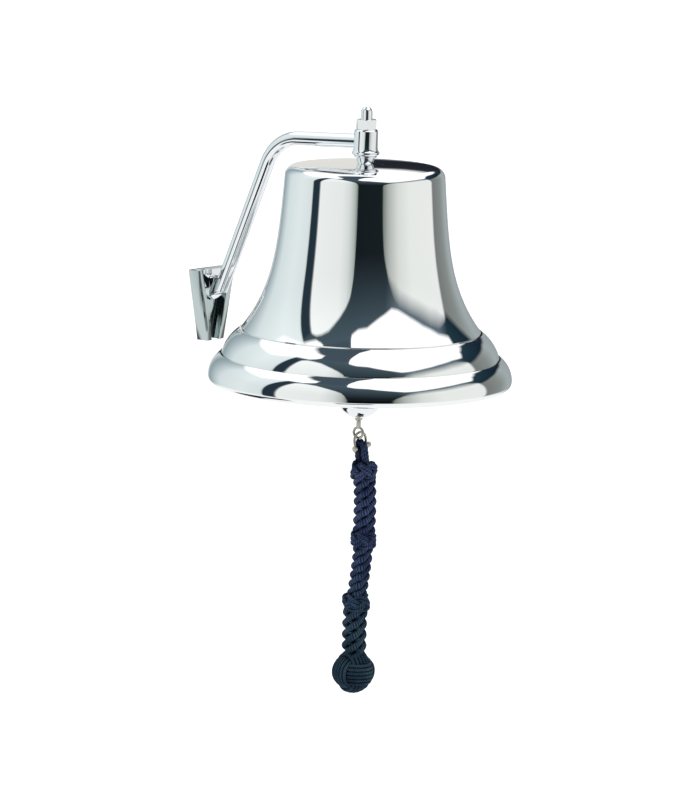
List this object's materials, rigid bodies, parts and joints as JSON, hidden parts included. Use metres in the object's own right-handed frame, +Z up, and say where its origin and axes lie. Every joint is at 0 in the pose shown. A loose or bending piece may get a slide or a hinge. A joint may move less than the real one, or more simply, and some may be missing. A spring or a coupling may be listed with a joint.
{
  "type": "ship bell",
  "caption": "Chromed ship bell on a lift-out wall bracket arm, with a swinging clapper and a knotted navy bell rope ending in a monkey's fist.",
  "frame": {"origin": "centre of the wall socket's back face, where it lies on the wall", "axes": "+X away from the wall to the bell, +Z up, Y along the wall"},
  "size_m": [0.245, 0.21, 0.4115],
  "materials": {
    "chromed_brass": "mirror polished chrome plate on cast and turned brass",
    "chromed_fittings": "bright chrome plate",
    "fibre": "pressed red fibre",
    "navy_cord": "plaited and knotted cord",
    "beech": "turned, unfinished"
  },
  "bodies": {
    "socket": {"wall_socket": "chromed_brass"},
    "arm": {"arm_foot": "chromed_brass", "arm_bar": "chromed_brass", "arm_hub": "chromed_brass", "top_nut": "chromed_brass", "hanger_stud": "chromed_brass", "hub_washer": "chromed_brass", "crown_spacer": "chromed_brass", "bell": "chromed_brass", "inner_gasket": "fibre", "inner_washer": "chromed_fittings", "inner_nut": "chromed_fittings"},
    "clapper_link": {"clapper_shackle": "chromed_fittings", "clapper_pin": "chromed_fittings"},
    "clapper": {"clapper_rod": "chromed_fittings", "clapper_ball": "chromed_fittings", "clapper_tail": "chromed_fittings"},
    "rope_link": {"rope_shackle": "chromed_fittings", "rope_pin": "chromed_fittings"},
    "rope": {"rope_bight": "navy_cord", "bell_rope": "navy_cord", "turks_head_1": "navy_cord", "turks_head_2": "navy_cord", "turks_head_3": "navy_cord", "monkeys_fist": "navy_cord", "fist_core": "beech"}
  },
  "joints": [
    {"name": "arm_lift", "type": "slide", "parent": "socket", "child": "arm", "axis": [0, 0, 1], "range_m": [0, 0.0225]},
    {"name": "clapper_rock", "type": "hinge", "parent": "arm", "child": "clapper_link", "pos_m": [0.14, 0, 0.0804], "axis": [1, 0, 0], "range_deg": [-8, 8]},
    {"name": "clapper_swing", "type": "hinge", "parent": "clapper_link", "child": "clapper", "pos_m": [0.14, 0, 0.0704], "axis": [0, 1, 0], "range_deg": [-35.7, 35.7]},
    {"name": "rope_link_swing", "type": "hinge", "parent": "clapper", "child": "rope_link", "pos_m": [0.14, 0, -0.0787], "axis": [0.9848, 0.1736, 0], "range_deg": [-30, 30]},
    {"name": "rope_swing", "type": "hinge", "parent": "rope_link", "child": "rope", "pos_m": [0.14047, 0.00269, -0.0856], "axis": [0.171, 0.9698, 0.1736], "range_deg": [-45, 45]}
  ]
}
